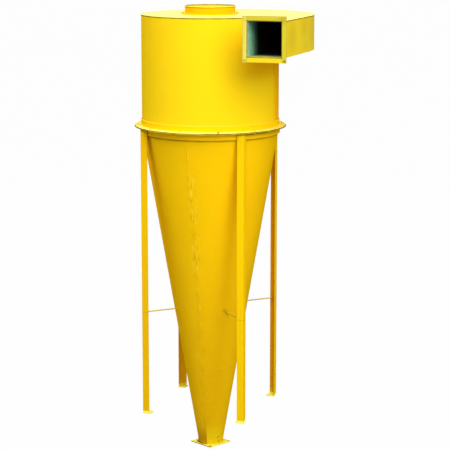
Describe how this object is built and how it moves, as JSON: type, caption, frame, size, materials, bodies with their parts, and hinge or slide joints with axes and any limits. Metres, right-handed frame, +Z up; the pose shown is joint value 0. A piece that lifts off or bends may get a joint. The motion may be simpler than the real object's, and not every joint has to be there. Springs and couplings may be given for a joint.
{
  "type": "cyclone separator",
  "caption": "Welded sheet cyclone: square tangential inlet into a scroll, central gas outlet in the flat roof, flanged cone on angle legs, square dust outlet flange hanging below the feet.",
  "frame": {"origin": "on the vessel's vertical axis, in the plane of the undersides of the four foot plates, at the centre of the pattern of anchor holes", "axes": "+Z up, the gas inlet's mouth faces -Y, the inlet duct lies on the +X side of the barrel"},
  "size_m": [1.3384, 1.3112, 3.292],
  "materials": {
    "yellow_paint": "gloss yellow enamel on steel"
  },
  "bodies": {
    "root": {"barrel_shell": "yellow_paint", "roof_plate": "yellow_paint", "duct_inner_wall": "yellow_paint", "duct_outer_wall": "yellow_paint", "scroll_wall": "yellow_paint", "scroll_floor": "yellow_paint", "inlet_flange_top": "yellow_paint", "inlet_flange_bottom": "yellow_paint", "inlet_flange_inner": "yellow_paint", "inlet_flange_outer": "yellow_paint", "outlet_pipe": "yellow_paint", "outlet_rim": "yellow_paint", "outlet_base_ring": "yellow_paint", "upper_ring_angle": "yellow_paint", "lower_ring_angle": "yellow_paint", "cone_upper": "yellow_paint", "cone_lower": "yellow_paint", "dust_spigot": "yellow_paint", "dust_flange": "yellow_paint", "leg_front_right": "yellow_paint", "leg_back_right": "yellow_paint", "leg_back_left": "yellow_paint", "leg_front_left": "yellow_paint", "foot_plate_front_right": "yellow_paint", "foot_plate_back_right": "yellow_paint", "foot_plate_back_left": "yellow_paint", "foot_plate_front_left": "yellow_paint", "stay_rod_front_right": "yellow_paint", "stay_rod_back_right": "yellow_paint", "stay_rod_back_left": "yellow_paint", "stay_rod_front_left": "yellow_paint"}
  },
  "joints": []
}
